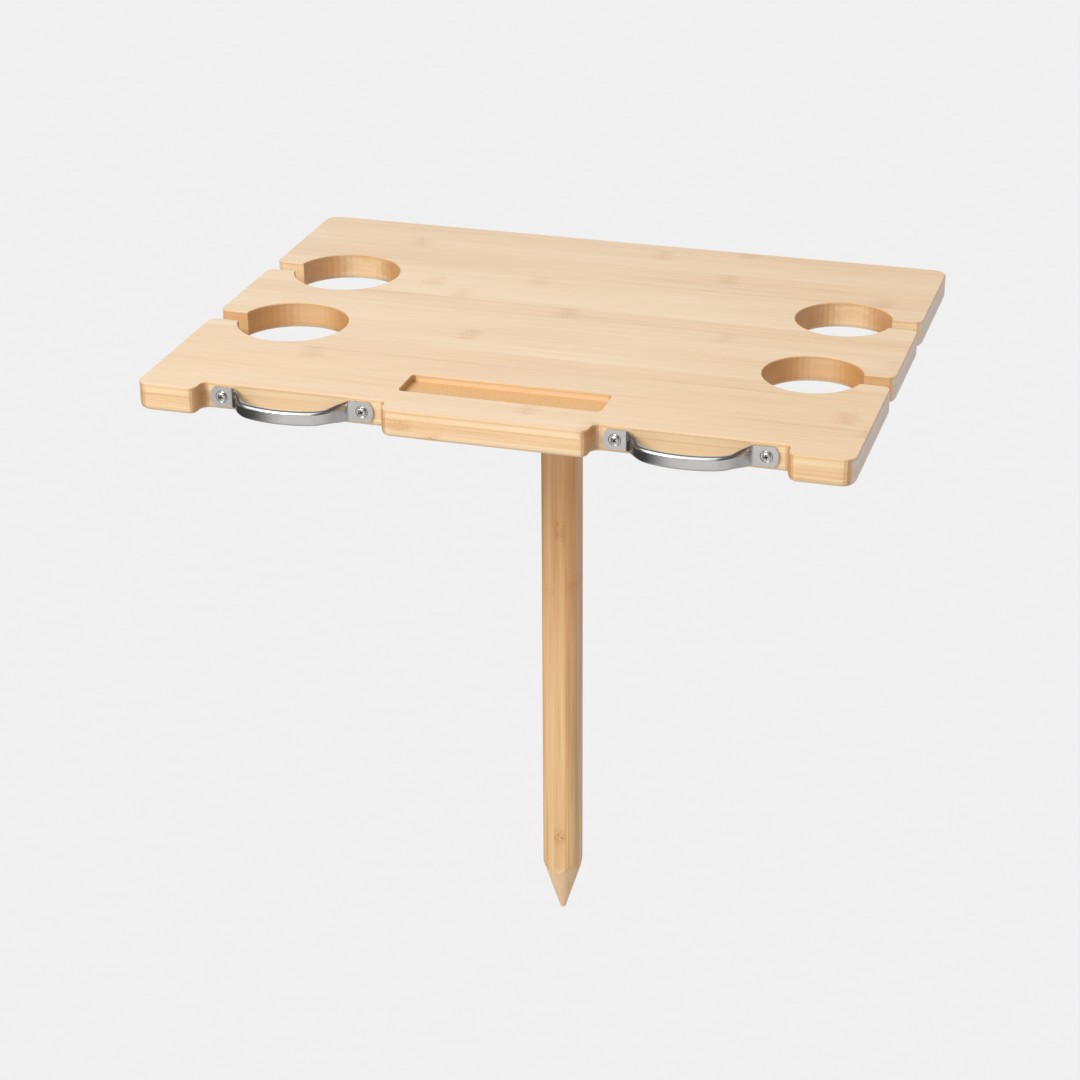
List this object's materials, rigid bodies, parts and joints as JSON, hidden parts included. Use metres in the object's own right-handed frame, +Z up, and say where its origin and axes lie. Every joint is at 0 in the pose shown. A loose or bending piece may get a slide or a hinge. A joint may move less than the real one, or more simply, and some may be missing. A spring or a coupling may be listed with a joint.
{
  "type": "ground stake picnic side table",
  "caption": "Low bamboo picnic side table on a pointed ground stake, with slotted bottle and glass holes, a phone groove and steel strap handles.",
  "frame": {"origin": "centre of the board's top face, on the stake's axis", "axes": "+X along the board's long side, the smaller glass holes' end; +Y away from the edge with the handles; +Z up, out of the top face"},
  "size_m": [0.5, 0.393, 0.4954],
  "materials": {
    "board_bamboo": "satin clear lacquer",
    "stake_bamboo": "satin clear lacquer",
    "strap_steel": "polished satin",
    "screw_steel": "bright plated",
    "zinc_steel": "zinc plated"
  },
  "bodies": {
    "stake": {"stake": "stake_bamboo", "hanger_bolt": "zinc_steel"},
    "stop_washer": {"stop_washer": "zinc_steel"},
    "table_top": {"table_top": "board_bamboo", "handle_left": "strap_steel", "handle_right": "strap_steel", "handle_screw_1": "screw_steel", "handle_screw_2": "screw_steel", "handle_screw_3": "screw_steel", "handle_screw_4": "screw_steel", "threaded_plate": "zinc_steel", "plate_screw_1": "zinc_steel", "plate_screw_2": "zinc_steel", "plate_screw_3": "zinc_steel", "plate_screw_4": "zinc_steel"}
  },
  "joints": [
    {"name": "top_turn", "type": "hinge", "parent": "stake", "child": "stop_washer", "pos_m": [0, 0, -0.0249], "axis": [0, 0, 1], "range_deg": [0, 3600]},
    {"name": "top_lift", "type": "slide", "parent": "stop_washer", "child": "table_top", "axis": [0, 0, 1], "range_m": [0, 0.0151]}
  ],
  "couplings": [
    {"joint": "top_lift", "follows": "top_turn", "m_per_rad": 0.00023873}
  ]
}
